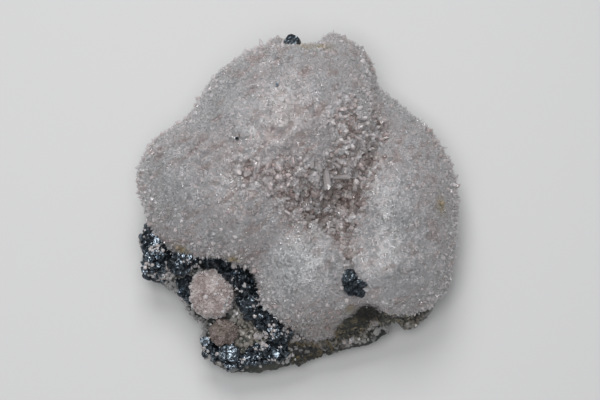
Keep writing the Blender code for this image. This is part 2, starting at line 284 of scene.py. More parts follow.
# Spots where dark rock and rust take over the crust's lower edge, reaching under the lobes as painted
# shade
STAINED_AND_SHADED = (
    ((0.0160, -0.0372, 0.0205), 0.0050), ((0.0185, -0.0384, 0.0180), 0.0055),
    ((0.0142, -0.0395, 0.0195), 0.0045), ((0.0210, -0.0350, 0.0228), 0.0035),
    ((0.0258, -0.0364, 0.0210), 0.0045), ((0.0290, -0.0369, 0.0173), 0.0060),
    ((0.0335, -0.0352, 0.0165), 0.0065), ((0.0236, -0.0356, 0.0225), 0.0035),
    ((0.0155, -0.0415, 0.0160), 0.0060), ((0.0095, -0.0437, 0.0140), 0.0048),
    ((0.0030, -0.0450, 0.0130), 0.0048),
)
# The notch between the middle and right-hand lobes, painted near-black on the crust and its points:
# painted shade
NOTCH, NOTCH_SPREAD = (0.0206, -0.0352, 0.0236), 0.0060
COARSE = (
    ((0.0144, 0.0187, 0.0480), 0.009), ((0.0159, 0.0108, 0.0438), 0.010),
    ((0.0130, 0.0037, 0.0423), 0.011), ((0.0087, -0.0015, 0.0393), 0.012),
    ((-0.0001, -0.0020, 0.0415), 0.010), ((0.0117, -0.0061, 0.0325), 0.010),
    ((0.0044, -0.0065, 0.0342), 0.010), ((0.0222, 0.0192, 0.0344), 0.008),
    ((0.0199, 0.0078, 0.0377), 0.008), ((0.0152, -0.0022, 0.0356), 0.009),
    ((-0.0029, 0.0014, 0.0460), 0.010), ((0.0132, -0.0119, 0.0316), 0.006),
    ((0.0146, -0.0198, 0.0340), 0.005), ((-0.0144, 0.0025, 0.0479), 0.008),
)
HOLLOW = (
    ((0.0125, -0.0050, 0.0325), 0.010), ((0.0155, -0.0010, 0.0350), 0.008),
    ((0.0044, -0.0065, 0.0342), 0.010), ((0.0132, -0.0119, 0.0316), 0.007),
    ((0.0199, 0.0078, 0.0377), 0.006), ((0.0222, 0.0192, 0.0344), 0.007),
    ((0.0146, -0.0198, 0.0335), 0.005),
)


def within(places, spots):
    """How far places lie within a list of spots, each a centre and a reach: 1 at a centre, 0 outside."""
    total = np.zeros(len(places))
    for centre, reach in spots:
        away = np.linalg.norm(places - np.array(centre), axis=1)
        total += np.clip(1.0 - away / reach, 0.0, 1.0)
    return np.clip(total, 0.0, 1.0)


def banded(places, seed):
    """Noise drawn out along the growth bands that run up to the right across the crust."""
    along = np.array([math.cos(BANDS_RUN), math.sin(BANDS_RUN), 0.0])
    across = np.array([-math.sin(BANDS_RUN), math.cos(BANDS_RUN), 0.4])
    drawn = [places @ along / BAND_LENGTH, places @ across / BAND_WIDTH, places[:, 2] / BAND_LENGTH]
    return lumpy(np.stack(drawn, axis=1), 1.0, seed)


def depths(mesh, evening):
    """How deep each vertex of a skin lies below the skin's own evened surface, in millimetres."""
    places, ways = places_and_ways(mesh)
    broad = bmesh.new()
    broad.from_mesh(mesh)
    for _ in range(evening):
        bmesh.ops.smooth_vert(broad, verts=broad.verts, factor=0.5, use_axis_x=True, use_axis_y=True,
                              use_axis_z=True)
    averages = np.array([vertex.co[:] for vertex in broad.verts])
    broad.free()
    return ((averages - places) * ways).sum(axis=1) * 1000.0


def carry(mesh, name, values):
    """Gives each vertex of a mesh a value or a way that a finish can read."""
    if values.ndim == 1:
        mesh.attributes.new(name, "FLOAT", "POINT").data.foreach_set("value", values)
    else:
        mesh.attributes.new(name, "FLOAT_VECTOR", "POINT").data.foreach_set("vector", values.ravel())


def clumped(places, size):
    """1 within the crust's clumps, each about this many metres across, and 0 in their seams."""
    away = np.array([noise.voronoi(Vector(place / size))[0][:2] for place in places])
    return np.clip((away[:, 1] - away[:, 0]) / CLUMP_SEAM, 0.0, 1.0) ** 0.7


def stains_and_shade(places):
    """How far the crust's lower edge is taken over by dark rock and rust, partly painted shade under the
    lobes, from 0 to 1.
    """
    over = within(places, STAINED_AND_SHADED)
    return np.clip(2.6 * over + 0.5 * lumpy(places, 0.0024, 7.0) - 0.20, 0.0, 1.0) * (over > 0.0)


def stained_and_shaded(finish, colour):
    """The colour with the rock and rust of the lower edge over it, partly painted shade under the lobes,
    and the notch painted near-black as shade.
    """
    rust = finish.between(finish.grain(0.0022, 3.0), 0.50, 0.62)
    rust = finish.mix(rust, EDGE_ROCK, EDGE_RUST)
    colour = finish.mix(finish.trait("stain"), colour, rust)
    # Painted shade: the notch is painted near-black
    return finish.mix(finish.near(NOTCH, NOTCH_SPREAD) * 2.0, colour, NOTCH_SHADE_ON_CRUST)


crust_skin = skin_of("rhodochrosite_crust", CRUST_VOXEL, CRUST_SMOOTHING)
roughen(crust_skin, *CRUST_LUMPS)
places, ways = places_and_ways(crust_skin)
crust_clumps = clumped(places + CLUMP_WAVER * lumpy(places, 0.002, 5.0)[:, None], CLUMP_SIZE)
coarse = within(places, COARSE)
swell = CRUST_SWELL + CLUMP_HEIGHT * (0.10 + 0.90 * coarse) * (crust_clumps - 0.75)
crust_skin.vertices.foreach_set("co", (places + ways * swell[:, None]).ravel())
crust_skin.update()
crust_depths = depths(crust_skin, CRUST_SMOOTHING)
crust_seams = (1.0 - crust_clumps) * np.clip(coarse * 1.4, 0.0, 1.0)
carry(crust_skin, "depth", crust_depths)
carry(crust_skin, "stain", stains_and_shade(places))
carry(crust_skin, "seam", np.clip(0.8 * crust_seams + 0.35 * within(places, HOLLOW), 0.0, 1.0))

crust_finish = Finish("pink_crust_finish", roughness=0.5)
deep = crust_finish.between(crust_finish.trait("depth"), -0.6, 1.2)
crust_colour = crust_finish.ramp(deep, (0.0, CRUST_PALE), (0.45, CRUST_PINK), (1.0, CRUST_DEEP))
mottle = crust_finish.between(crust_finish.grain(0.0035, 4.0), 0.40, 0.62)
crust_colour = crust_finish.mix(mottle * 0.45, crust_colour, CRUST_MILKY)
crust_colour = crust_finish.mix(crust_finish.near_any(COOL_PATCHES) * 0.8, crust_colour, CRUST_COOL)
crust_colour = crust_finish.mix(crust_finish.trait("seam") * 0.9, crust_colour, CRUST_SEAM)
dusting = crust_finish.between(crust_finish.grain(0.0015, 3.0), 0.35, 0.55)
ochre = crust_finish.near_any(OCHRE_ON_CRUST) * dusting
crust_colour = crust_finish.mix(ochre, crust_colour, CRUST_OCHRE)
crust_finish.put("Base Color", stained_and_shaded(crust_finish, crust_colour))
crust_finish.bump(crust_finish.grain(0.0007, 3.0), 0.0004)
piece_from(crust_skin, "pink_crust", crust_finish, "drusy_crust", "rhodochrosite_crust")

# Quartz points. Thousands of six-sided quartz crystals that grew out of the crust wall to wall, so that
# little but their tips shows: milky and fine on the tops, broader on the sides, long and clearer down in
# the hollow.

LOWEST_POINT = 0.0135
BARE_KNOBS = (((-0.0063, 0.0461, 0.025), 0.0055), ((0.0107, 0.0475, 0.025), 0.0055))
QUARTZ_WHITE, QUARTZ_GREY = (0.70, 0.66, 0.67), (0.42, 0.41, 0.415)
QUARTZ_PINK, QUARTZ_BROWN, QUARTZ_OCHRE = (0.49, 0.385, 0.37), (0.19, 0.14, 0.12), (0.36, 0.27, 0.12)
FINE_GAP, FINE_GAP_ROUGH = 0.00052, 0.00028
BROAD_GAP, BROAD_GAP_ROUGH = 0.00230, 0.00060
LONG_GAP = 0.00240
POINT_RADIUS = 0.00056
HALVES_MEET = 0.0005


def quartz_point():
    """One crystal a unit wide and a unit long: a leaning pyramid over walls that narrow to its root."""
    point = bmesh.new()
    bmesh.ops.create_cone(point, cap_ends=True, segments=6, radius1=1.0, radius2=0.0, depth=0.7)
    base = next(face for face in point.faces if len(face.verts) == 6)
    ring = base.verts[:]
    bmesh.ops.poke(point, faces=[base])["verts"][0].co.z = -1.5
    for number, vertex in enumerate(ring):
        vertex.co.z = 0.15 + 0.20 * (number % 2)
    tip = max(point.verts, key=lambda vertex: vertex.co.z)
    tip.co = Vector((0.20, 0.08, 1.0))
    mesh = bpy.data.meshes.new("quartz_point")
    point.to_mesh(mesh)
    point.free()
    return mesh


def quartz_prism(shoulder):
    """One crystal a unit wide and a unit long: six walls up to its shoulders, then a leaning pyramid."""
    prism = bmesh.new()
    bmesh.ops.create_cone(prism, cap_ends=True, segments=6, radius1=0.75, radius2=1.0, depth=1.0)
    top = max(prism.faces, key=lambda face: face.calc_center_median().z)
    ring = top.verts[:]
    for vertex in prism.verts:
        vertex.co.z = -0.8
    for number, vertex in enumerate(ring):
        vertex.co.z = shoulder + 0.12 * (number % 2)
    bmesh.ops.poke(prism, faces=[top])["verts"][0].co = Vector((0.18, 0.06, 1.0))
    mesh = bpy.data.meshes.new("quartz_prism")
    prism.to_mesh(mesh)
    prism.free()
    return mesh


def strewn(mesh, gap_at, seed, tries):
    """Places on a skin, each at least its gap from the rest, with their ways and nearest vertices."""
    chance = np.random.default_rng(seed)
    mesh.calc_loop_triangles()
    corners = np.empty(len(mesh.loop_triangles) * 3, dtype=np.int32)
    mesh.loop_triangles.foreach_get("vertices", corners)
    corners = corners.reshape(-1, 3)
    places, ways = places_and_ways(mesh)
    first, second, third = (places[corners[:, i]] for i in range(3))
    areas = np.linalg.norm(np.cross(second - first, third - first), axis=1)
    picked = chance.choice(len(corners), size=tries, p=areas / areas.sum())
    u, v = chance.random(tries), chance.random(tries)
    fold = u + v > 1.0
    u[fold], v[fold] = 1.0 - u[fold], 1.0 - v[fold]
    shares = np.stack([1.0 - u - v, u, v], axis=1)
    found = (places[corners[picked]] * shares[:, :, None]).sum(axis=1)
    facing = (ways[corners[picked]] * shares[:, :, None]).sum(axis=1)
    nearest = corners[picked, shares.argmax(axis=1)]
    gaps = gap_at(found, facing)
    found, facing, nearest, gaps = (part[gaps > 0.0] for part in (found, facing, nearest, gaps))
    tree = kdtree.KDTree(len(found))
    for number, place in enumerate(found):
        tree.insert(place, number)
    tree.balance()
    free = np.ones(len(found), dtype=bool)
    kept = []
    for number, place in enumerate(found):
        if free[number]:
            kept.append(number)
            for _, other, _ in tree.find_range(place, gaps[number]):
                free[other] = False
    return found[kept], facing[kept], nearest[kept]


def grown(template, places, ways, widths, lengths, lean, seed, **traits):
    """A mesh of many copies of one crystal, each leaning and turned its own way, with its own traits."""
    chance = np.random.default_rng(seed)
    count = len(places)
    up = ways / np.linalg.norm(ways, axis=1)[:, None] + chance.normal(0.0, lean, (count, 3))
    up /= np.linalg.norm(up, axis=1)[:, None]
    side = np.cross(up, chance.normal(0.0, 1.0, (count, 3)))
    side /= np.linalg.norm(side, axis=1)[:, None]
    other = np.cross(up, side)
    flat = chance.uniform(0.75, 1.0, count)
    turns = [side * widths[:, None], other * (widths * flat)[:, None], up * lengths[:, None]]
    shape = np.array([vertex.co[:] for vertex in template.vertices])
    points = places[:, None, :] + np.einsum("vk,nkj->nvj", shape, np.stack(turns, axis=1))
    loops = np.array([loop.vertex_index for loop in template.loops])
    starts = np.array([face.loop_start for face in template.polygons])
    mesh = bpy.data.meshes.new("crystals")
    mesh.vertices.add(count * len(shape))
    mesh.vertices.foreach_set("co", points.ravel())
    mesh.loops.add(count * len(loops))
    numbers = np.arange(count)[:, None]
    mesh.loops.foreach_set("vertex_index", (loops[None, :] + numbers * len(shape)).ravel())
    mesh.polygons.add(count * len(starts))
    mesh.polygons.foreach_set("loop_start", (starts[None, :] + numbers * len(loops)).ravel())
    mesh.update(calc_edges=True)
    mesh.shade_flat()
    for name, values in traits.items():
        carry(mesh, name, np.repeat(values, len(shape)))
    carry(mesh, "way", np.repeat(ways, len(shape), axis=0))
    return mesh


def rough_at(places, ways, by_spots, by_slope, flat):
    """How rough the druse is, from 0 to 1, by the coarse spots and by how far its skin is from flat."""
    return np.clip(by_spots * within(places, COARSE) + by_slope * (flat - ways[:, 2]), 0.0, 1.0)


def fine_gap(places, ways):
    """The gaps of the fine points: closest on the flat tops."""
    return FINE_GAP + FINE_GAP_ROUGH * rough_at(places, ways, by_spots=1.0, by_slope=1.6, flat=0.8)


def broad_gap(places, ways):
    """The gaps of the broad points: on the steep sides and in the hollow, few on the tops."""
    rough = rough_at(places, ways, by_spots=1.3, by_slope=2.0, flat=0.75)
    shown = rough + 0.6 * lumpy(places, 0.004, 3.0) > 0.55
    return np.where(shown, BROAD_GAP - BROAD_GAP_ROUGH * rough, 0.0)


def long_gap(places, ways):
    """The gaps of the long clear points, which grow only in the hollow and along its sides."""
    return np.where(within(places, COARSE) + 0.2 * lumpy(places, 0.003, 8.0) > 0.34, LONG_GAP, 0.0)


def soften(finish, share):
    """Turns the shading of facets this far towards their skin's way, as light within the stone does."""
    facet = finish.add("ShaderNodeNewGeometry", {}, {}, "Normal")
    way = finish.add("ShaderNodeAttribute", {"attribute_name": "way"}, {}, "Vector")
    blend = finish.add("ShaderNodeMix", {"data_type": "VECTOR"}, {0: share, 4: facet, 5: way}, 1)
    finish.put("Normal", finish.add("ShaderNodeVectorMath", {"operation": "NORMALIZE"}, {0: blend}))


def quartz_finish(name, clearness):
    """Milky to clear quartz, with the colours and the gloss that each point carries."""
    finish = Finish(name, ior=1.544, transmission_weight=clearness, subsurface_weight=0.8,
                    subsurface_scale=0.0012, subsurface_radius=(1.0, 0.9, 0.85))
    colour = finish.mix(finish.trait("grey"), QUARTZ_WHITE, QUARTZ_GREY)
    colour = finish.mix(finish.trait("pink"), colour, QUARTZ_PINK)
    colour = finish.mix(finish.trait("brown"), colour, QUARTZ_BROWN)
    colour = finish.mix(finish.near_any(OCHRE_ON_CRUST) * 0.85, colour, QUARTZ_OCHRE)
    finish.put("Base Color", stained_and_shaded(finish, colour))
    finish.put("Roughness", 0.32 - 0.26 * finish.trait("gloss") + 0.4 * finish.trait("stain"))
    soften(finish, finish.trait("soft"))
    return finish


def points_on_crust(gap_at, length, growth, softness, seed, tries):
    """Quartz points on the crust: their places, ways, widths, lengths and what colours them."""
    def gap_above_rock(places, ways):
        return np.where(places[:, 2] > LOWEST_POINT, gap_at(places, ways), 0.0)

    places, ways, nearest = strewn(crust_skin, gap_above_rock, seed, tries)
    chance = np.random.default_rng(seed)
    count = len(places)
    coarse, bare = within(places, COARSE), within(places, BARE_KNOBS)
    rough = rough_at(places, ways, by_spots=1.3, by_slope=1.6, flat=0.8)
    # The points are painted greyer towards the foot: painted shade on the lower flanks
    foot_shade = np.clip((0.030 - places[:, 2]) / 0.014, 0.0, 1.0)

    widths = POINT_RADIUS * np.exp(chance.normal(0.0, 0.24, count)) * (1.0 - 0.35 * bare)
    widths *= 1.0 + 0.35 * growth * rough
    lengths = length * np.exp(chance.normal(0.0, 0.28, count)) * (1.0 - 0.5 * bare)
    lengths *= (0.70 + growth * rough) * (1.0 + 0.3 * lumpy(places, 0.0024))

    deep, seam = crust_depths[nearest], crust_seams[nearest]
    bands = np.clip((banded(places, 4.0) - 0.12) / 0.30, 0.0, 1.0)
    cool, warm = within(places, COOL_PATCHES), within(places, WARM_PATCHES)
    # Painted light makes the points paler and less brown; painted shade makes them greyer and browner
    painted_light, painted_shade = within(places, PAINTED_LIGHT_PATCHES), within(places, PAINTED_SHADE_PATCHES)
    pink = 0.22 + 0.4 * bare + 0.25 * deep + 0.70 * bands + 0.5 * lumpy(places, 0.009, 5.0)
    pink = (pink - 0.8 * cool + 0.35 * warm) * (1.0 - 0.4 * rough * (1.0 - coarse))
    grey = 0.22 + 0.35 * lumpy(places, 0.0045, 9.0) + 0.5 * foot_shade + 0.45 * cool - 0.9 * painted_light + 0.6 * painted_shade
    grey += chance.normal(0.0, 0.10, count) * (1.0 + rough)
    brown = 0.70 * seam + 0.22 * within(places, HOLLOW) + 0.45 * bands * lumpy(places, 0.0022, 2.0)
    brown += 0.3 * (painted_shade - painted_light)
    gloss = (chance.random(count) < 0.20) * 1.0
    soft = softness * (1.0 - gloss) * (1.0 - 0.65 * rough)
    traits = {"pink": pink, "grey": grey, "brown": brown, "gloss": gloss, "soft": soft,
              "stain": stains_and_shade(places)}
    traits = {name: np.clip(values, 0.0, 1.0) for name, values in traits.items()}
    return places, ways, widths, lengths, traits


def plant(name, finish, template, lean, seed, **settings):
    """Grows one layer of points on the crust, as a left and a right piece."""
    places, ways, widths, lengths, traits = points_on_crust(seed=seed, **settings)
    right = places[:, 0] > HALVES_MEET
    for side, chosen in (("left", ~right), ("right", right)):
        part = {key: values[chosen] for key, values in traits.items()}
        mesh = grown(template, places[chosen], ways[chosen], widths[chosen], lengths[chosen],
                     lean=lean, seed=seed, **part)
        piece_from(mesh, name + "_" + side, finish, "drusy_crust")


milky_finish = quartz_finish("milky_quartz_finish", 0.10)
clear_finish = quartz_finish("clear_quartz_finish", 0.35)
plant("fine_points", milky_finish, quartz_point(), lean=0.16, seed=21, tries=260000,
      gap_at=fine_gap, length=0.00046, growth=1.30, softness=0.88)
plant("broad_points", milky_finish, quartz_prism(0.45), lean=0.34, seed=22, tries=90000,
      gap_at=broad_gap, length=0.00100, growth=0.50, softness=0.75)
plant("long_points", clear_finish, quartz_prism(0.62), lean=0.40, seed=23, tries=60000,
      gap_at=long_gap, length=0.00170, growth=0.45, softness=0.10)

# Hollow crystals. The biggest and clearest quartz crystals, which hang out over the hollow from roots in
# the crust. Each has its root, the way it points, its length and half its width.

HOLLOW_CRYSTALS = (
    ((0.0080, 0.0032, 0.0450), (0.05, -0.90, 0.38), 0.0068, 0.00118),
    ((0.0105, 0.0018, 0.0430), (0.95, -0.02, 0.30), 0.0052, 0.00070),
    ((0.0150, 0.0070, 0.0420), (0.30, -0.85, 0.45), 0.0032, 0.00065),
    ((0.0043, 0.0055, 0.0480), (-0.10, -0.80, 0.60), 0.0036, 0.00070),
    ((0.0056, 0.0052, 0.0475), (0.20, -0.85, 0.50), 0.0042, 0.00075),
    ((0.0014, 0.0035, 0.0470), (-0.40, -0.70, 0.60), 0.0030, 0.00060),
    ((0.0103, 0.0056, 0.0453), (0.50, -0.60, 0.60), 0.0032, 0.00065),
    ((0.0174, 0.0112, 0.0418), (0.80, -0.40, 0.45), 0.0032, 0.00060),
    ((-0.0001, 0.0001, 0.0439), (0.00, -0.90, 0.40), 0.0028, 0.00060),
    ((0.0034, -0.0030, 0.0388), (0.20, -0.90, 0.50), 0.0028, 0.00065),
    ((0.0134, -0.0013, 0.0364), (-0.30, -0.60, 0.70), 0.0026, 0.00060),
    ((0.0094, -0.0049, 0.0336), (0.10, -0.30, 0.95), 0.0026, 0.00060),
    ((0.0060, 0.0010, 0.0438), (-0.30, -0.80, 0.50), 0.0034, 0.00062),
)
CLEAR_AND_GLOSSY = {"pink": 0.1, "grey": 0.6, "brown": 0.1, "gloss": 1.0, "soft": 0.0}
roots, ways, lengths, widths = (np.array(values) for values in zip(*HOLLOW_CRYSTALS))
traits = {key: np.full(len(roots), value) for key, value in CLEAR_AND_GLOSSY.items()}
mesh = grown(quartz_prism(0.74), roots, ways, widths, lengths, lean=0.04, seed=24, **traits)
piece_from(mesh, "hollow_crystals", clear_finish, "drusy_crust")

# Galena. Six clusters of blue-grey metallic cubes with cut corners, grown together where the rock is
# bare: big stepped crystals with small ones crowded round them, and pale quartz grains over most of them.

CLUSTERS = [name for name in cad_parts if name.startswith("galena")]
BARE_CLUSTERS = ("galena_in_groove", "galena_at_top")
TARNISH_DARK, TARNISH_PALE = (0.034, 0.043, 0.052), (0.18, 0.215, 0.25)

# The biggest crystals, each with its cluster, its place, the way it faces and its size
GIANTS = (
    ("galena_left_edge", (-0.0432, -0.0125, 0.0172), (0.25, -0.35, 0.90), 0.0027),
    ("galena_left_edge", (-0.0418, -0.0178, 0.0172), (0.75, -0.20, 0.60), 0.0024),
    ("galena_left_edge", (-0.0450, -0.0100, 0.0185), (-0.30, 0.40, 0.85), 0.0017),
    ("galena_arc", (-0.0351, -0.0206, 0.0190), (0.30, -0.20, 0.93), 0.0024),
    ("galena_arc", (-0.0275, -0.0192, 0.0190), (0.40, 0.30, 0.80), 0.0020),
    ("galena_arc", (-0.0172, -0.0250, 0.0195), (-0.20, -0.50, 0.80), 0.0023),
    ("galena_arc", (-0.0150, -0.0320, 0.0200), (0.12, -0.45, 0.87), 0.0026),
    ("galena_arc", (-0.0120, -0.0295, 0.0195), (0.50, 0.10, 0.80), 0.0017),
    ("galena_in_groove", (0.0146, -0.0262, 0.0340), (-0.35, 0.30, 0.90), 0.0021),
    ("galena_at_top", (-0.0018, 0.0438, 0.0388), (-0.30, 0.20, 0.90), 0.0021),
    ("galena_foot", (-0.0225, -0.0450, 0.0130), (-0.45, -0.35, 0.80), 0.0022),
    ("galena_foot", (-0.0110, -0.0458, 0.0138), (0.40, 0.55, 0.70), 0.0019),
)


def galena_crystal(cut, steps):
    """A cube two units wide with its corners cut, and growth steps on its faces."""
    crystal = bmesh.new()
    cube = bmesh.ops.create_cube(crystal, size=2.0)
    bmesh.ops.bevel(crystal, geom=cube["verts"], affect="VERTICES", offset=cut, segments=1, profile=0.5,
                    material=-1)
    sides = [face for face in crystal.faces if len(face.verts) == 8]
    for _ in range(steps):
        bmesh.ops.inset_individual(crystal, faces=sides, thickness=0.05, depth=0.0)
        bmesh.ops.inset_individual(crystal, faces=sides, thickness=0.02, depth=0.07)
        bmesh.ops.inset_individual(crystal, faces=sides, thickness=0.14, depth=0.0)
    bmesh.ops.triangulate(crystal, faces=[face for face in crystal.faces if len(face.verts) > 4])
    bmesh.ops.recalc_face_normals(crystal, faces=crystal.faces)
    mesh = bpy.data.meshes.new("galena_crystal")
    crystal.to_mesh(mesh)
    crystal.free()
    return mesh


galena_finish = Finish("galena_finish", metallic=0.95)
tarnish = galena_finish.between(galena_finish.grain(0.0014, 4.0), 0.40, 0.62)
galena_finish.put("Base Color", galena_finish.mix(tarnish, TARNISH_DARK, TARNISH_PALE))
galena_finish.put("Roughness", 0.42 - 0.22 * tarnish)
galena_finish.bump(galena_finish.grain(0.0012, 1.0), 0.00055)

# Each kind's name, crystal, gap, half width, and how far it sinks in as a share of its half width
GALENA_KINDS = (
    ("cubes", galena_crystal(cut=0.42, steps=1), 0.0023, 0.00105, 0.05),
    ("grains", galena_crystal(cut=0.55, steps=0), 0.00105, 0.00055, -0.15),
)
GALENA_TRIES = 9000
QUARTZ_GAP, QUARTZ_SIZE, QUARTZ_LIFT, QUARTZ_SEEDS = 0.00070, 0.00046, 0.0004, 50


def upper_gap(gap, size=0.003, least=-1.0, seed=0.0):
    """The same gap wherever slow noise is above its least, but none on a skin's underside."""
    def gap_at(places, ways):
        shown = (ways[:, 2] > -0.4) & (lumpy(places, size, seed) > least)
        return np.where(shown, gap, 0.0)

    return gap_at


def grain_traits(chance, count, pink, greyness, brown):
    """What colours quartz grains that grew on something else: mostly pale, some of them glossy."""
    return {"pink": pink * chance.random(count), "grey": chance.random(count) ** greyness,
            "brown": brown * chance.random(count) ** 2, "gloss": (chance.random(count) < 0.3) * 1.0,
            "soft": np.full(count, 0.3)}


for seed, node in enumerate(CLUSTERS):
    core = merged(node)
    for kind, template, gap, size, sunk in GALENA_KINDS:
        places, ways, _ = strewn(core, upper_gap(gap), seed, GALENA_TRIES)
        chance = np.random.default_rng(seed)
        sizes = size * np.exp(chance.normal(0.0, 0.28, len(places)))
        places = places - sunk * size * ways
        mesh = grown(template, places, ways, sizes, sizes * 0.95, lean=0.8, seed=seed)
        piece_from(mesh, node + "_" + kind, galena_finish, "galena")
    giants = [row[1:] for row in GIANTS if row[0] == node]
    if giants:
        places, ways, sizes = (np.array(values) for values in zip(*giants))
        giant = galena_crystal(cut=0.38, steps=2)
        mesh = grown(giant, places, ways, sizes * 0.85, sizes * 0.80, lean=0.05, seed=seed)
        piece_from(mesh, node + "_giants", galena_finish, "galena")
    if node not in BARE_CLUSTERS:
        patchy = upper_gap(QUARTZ_GAP, size=0.0030, least=0.20, seed=4.0)
        places, ways, _ = strewn(core, patchy, seed + QUARTZ_SEEDS, GALENA_TRIES)
        chance = np.random.default_rng(seed + QUARTZ_SEEDS)
        sizes = QUARTZ_SIZE * np.exp(chance.normal(0.0, 0.30, len(places)))
        traits = grain_traits(chance, len(places), pink=0.25, greyness=1, brown=0.35)
        places = places + ways * QUARTZ_LIFT
        mesh = grown(quartz_prism(0.4), places, ways, sizes, sizes * 1.5, lean=0.5, seed=seed, **traits)
        piece_from(mesh, node + "_quartz", milky_finish, "drusy_crust")
    piece_from(core, node + "_core", galena_finish, "galena", node)

# Two specks of galena on the big dome, each with its place, the way it faces and its size
SPECKS = (
    ((-0.0061, 0.0261, 0.0552), (0.1, 0.3, 0.9), 0.00045),
    ((-0.0175, 0.0112, 0.0516), (-0.3, -0.3, 0.9), 0.00038),
)
places, ways, sizes = (np.array(values) for values in zip(*SPECKS))
mesh = grown(galena_crystal(cut=0.42, steps=1), places, ways, sizes, sizes, lean=0.3, seed=70)
piece_from(mesh, "galena_specks", galena_finish, "galena")

# Pink nodules. Two rounded growths of rhodochrosite in the bare rock at the lower left, their skins of
# fine sugary rhombs, the lower one browner. Quartz has crept up the sides of the upper one.

NODULES = (
    ("pink_nodule", (0.48, 0.43, 0.42), (0.31, 0.25, 0.24)),
    ("lower_pink_nodule", (0.25, 0.205, 0.19), (0.15, 0.12, 0.105)),
)
BARE_NODULES = ("lower_pink_nodule",)
NODULE_VOXEL, NODULE_SMOOTHING = 0.0005, 8
NODULE_LUMPS = ((0.006, 0.0011), (0.0022, 0.0005))
RHOMB_GAP, RHOMB_RADIUS, RHOMB_TRIES = 0.00050, 0.00036, 20000
SKIRT_GAP, SKIRT_SIZE, SKIRT_TRIES, SKIRT_SEEDS = 0.00085, 0.00050, 12000, 60


def rhomb():
    """A leaning six-faced crystal about two units wide."""
    crystal = bmesh.new()
    bmesh.ops.create_cube(crystal, size=1.6)
    for vertex in crystal.verts:
        vertex.co.x += 0.28 * vertex.co.z
        vertex.co.y += 0.18 * vertex.co.z
    mesh = bpy.data.meshes.new("rhomb")
    crystal.to_mesh(mesh)
    crystal.free()
    return mesh


def carbonate_finish(name, pale, deep):
    """Dull sugary carbonate, clouded from its pale colour to its deep one."""
    finish = Finish(name, roughness=0.45)
    cloud = finish.between(finish.grain(0.003, 4.0), 0.35, 0.65)
    finish.put("Base Color", finish.mix(cloud, pale, deep))
    finish.bump(finish.grain(0.0003, 2.0), 0.0001)
    return finish


def skirt_gap(places, ways):
    """The gaps of the quartz on a nodule's sides: higher up on the right, and none underneath."""
    reach = 0.62 - ways[:, 2] + 0.25 * ways[:, 0] + 0.5 * lumpy(places, 0.0025, 3.0)
    return np.where((reach > 0.0) & (ways[:, 2] > -0.3), SKIRT_GAP, 0.0)


for seed, (node, pale, deep) in enumerate(NODULES):
    finish = carbonate_finish(node + "_finish", pale, deep)
    skin = skin_of(node, NODULE_VOXEL, NODULE_SMOOTHING)
    roughen(skin, *NODULE_LUMPS)
    places, ways, _ = strewn(skin, upper_gap(RHOMB_GAP), seed, RHOMB_TRIES)
    sizes = RHOMB_RADIUS * np.exp(np.random.default_rng(seed).normal(0.0, 0.25, len(places)))
    mesh = grown(rhomb(), places, ways, sizes, sizes, lean=0.7, seed=seed)
    piece_from(skin, node + "_skin", finish, "pink_carbonate", node)
    piece_from(mesh, node + "_grains", finish, "pink_carbonate")
    if node not in BARE_NODULES:
        places, ways, _ = strewn(skin, skirt_gap, seed + SKIRT_SEEDS, SKIRT_TRIES)
        chance = np.random.default_rng(seed + SKIRT_SEEDS)
        sizes = SKIRT_SIZE * np.exp(chance.normal(0.0, 0.28, len(places)))
        traits = grain_traits(chance, len(places), pink=0.5, greyness=2, brown=0.3)
        mesh = grown(quartz_prism(0.4), places, ways, sizes, sizes * 1.6, lean=0.4, seed=seed, **traits)
        piece_from(mesh, node + "_quartz", milky_finish, "drusy_crust")

# Sugary grains. Fine quartz and cream carbonate that grew over the rock between the galena and along the
# lower edge, grey and glassy at the rim, tan and ochre nearer the foot, with a dark crack through them.

SUGAR_GAP, SUGAR_RADIUS, SUGAR_TRIES, SUGAR_SEED = 0.00085, 0.00062, 120000, 31
SUGAR_DARK, SUGAR_PALE, SUGAR_TAN = (0.13, 0.135, 0.13), (0.52, 0.51, 0.51), (0.26, 0.22, 0.175)
SUGAR_AT = (
    ((-0.0460, -0.0120, 0.016), 0.010), ((-0.0440, -0.0200, 0.015), 0.010),
    ((-0.0380, -0.0250, 0.015), 0.012), ((-0.0320, -0.0300, 0.015), 0.012),
    ((-0.0290, -0.0380, 0.014), 0.010), ((-0.0240, -0.0280, 0.016), 0.014),
    ((-0.0150, -0.0360, 0.016), 0.014), ((-0.0060, -0.0410, 0.015), 0.011),
    ((-0.0200, -0.0440, 0.012), 0.009),
)
FRINGE_AT = (
    ((0.0030, -0.0425, 0.015), 0.009), ((0.0120, -0.0405, 0.015), 0.009),
    ((0.0200, -0.0385, 0.015), 0.006), ((0.0300, -0.0340, 0.014), 0.009),
    ((0.0380, -0.0310, 0.013), 0.009), ((0.0430, -0.0200, 0.014), 0.009),
)
TAN_AT = (
    ((-0.0160, -0.0400, 0.015), 0.009), ((-0.0080, -0.0410, 0.015), 0.008),
    ((-0.0200, -0.0450, 0.012), 0.008), ((0.0180, -0.0380, 0.015), 0.006),
    ((0.0340, -0.0350, 0.013), 0.008), ((-0.0349, -0.0175, 0.020), 0.006),
)
PALE_AT = (
    ((-0.0170, -0.0230, 0.018), 0.004), ((-0.0190, -0.0330, 0.016), 0.006),
    ((-0.0070, -0.0390, 0.017), 0.006), ((-0.0030, -0.0450, 0.014), 0.005),
    ((-0.0430, -0.0150, 0.016), 0.006), ((-0.0240, -0.0180, 0.020), 0.004),
)
CRACK_WIDTH = 0.0009
CRACK = (
    (-0.0315, -0.0305), (-0.0300, -0.0335), (-0.0270, -0.0352), (-0.0235, -0.0350), (-0.0205, -0.0345),
)


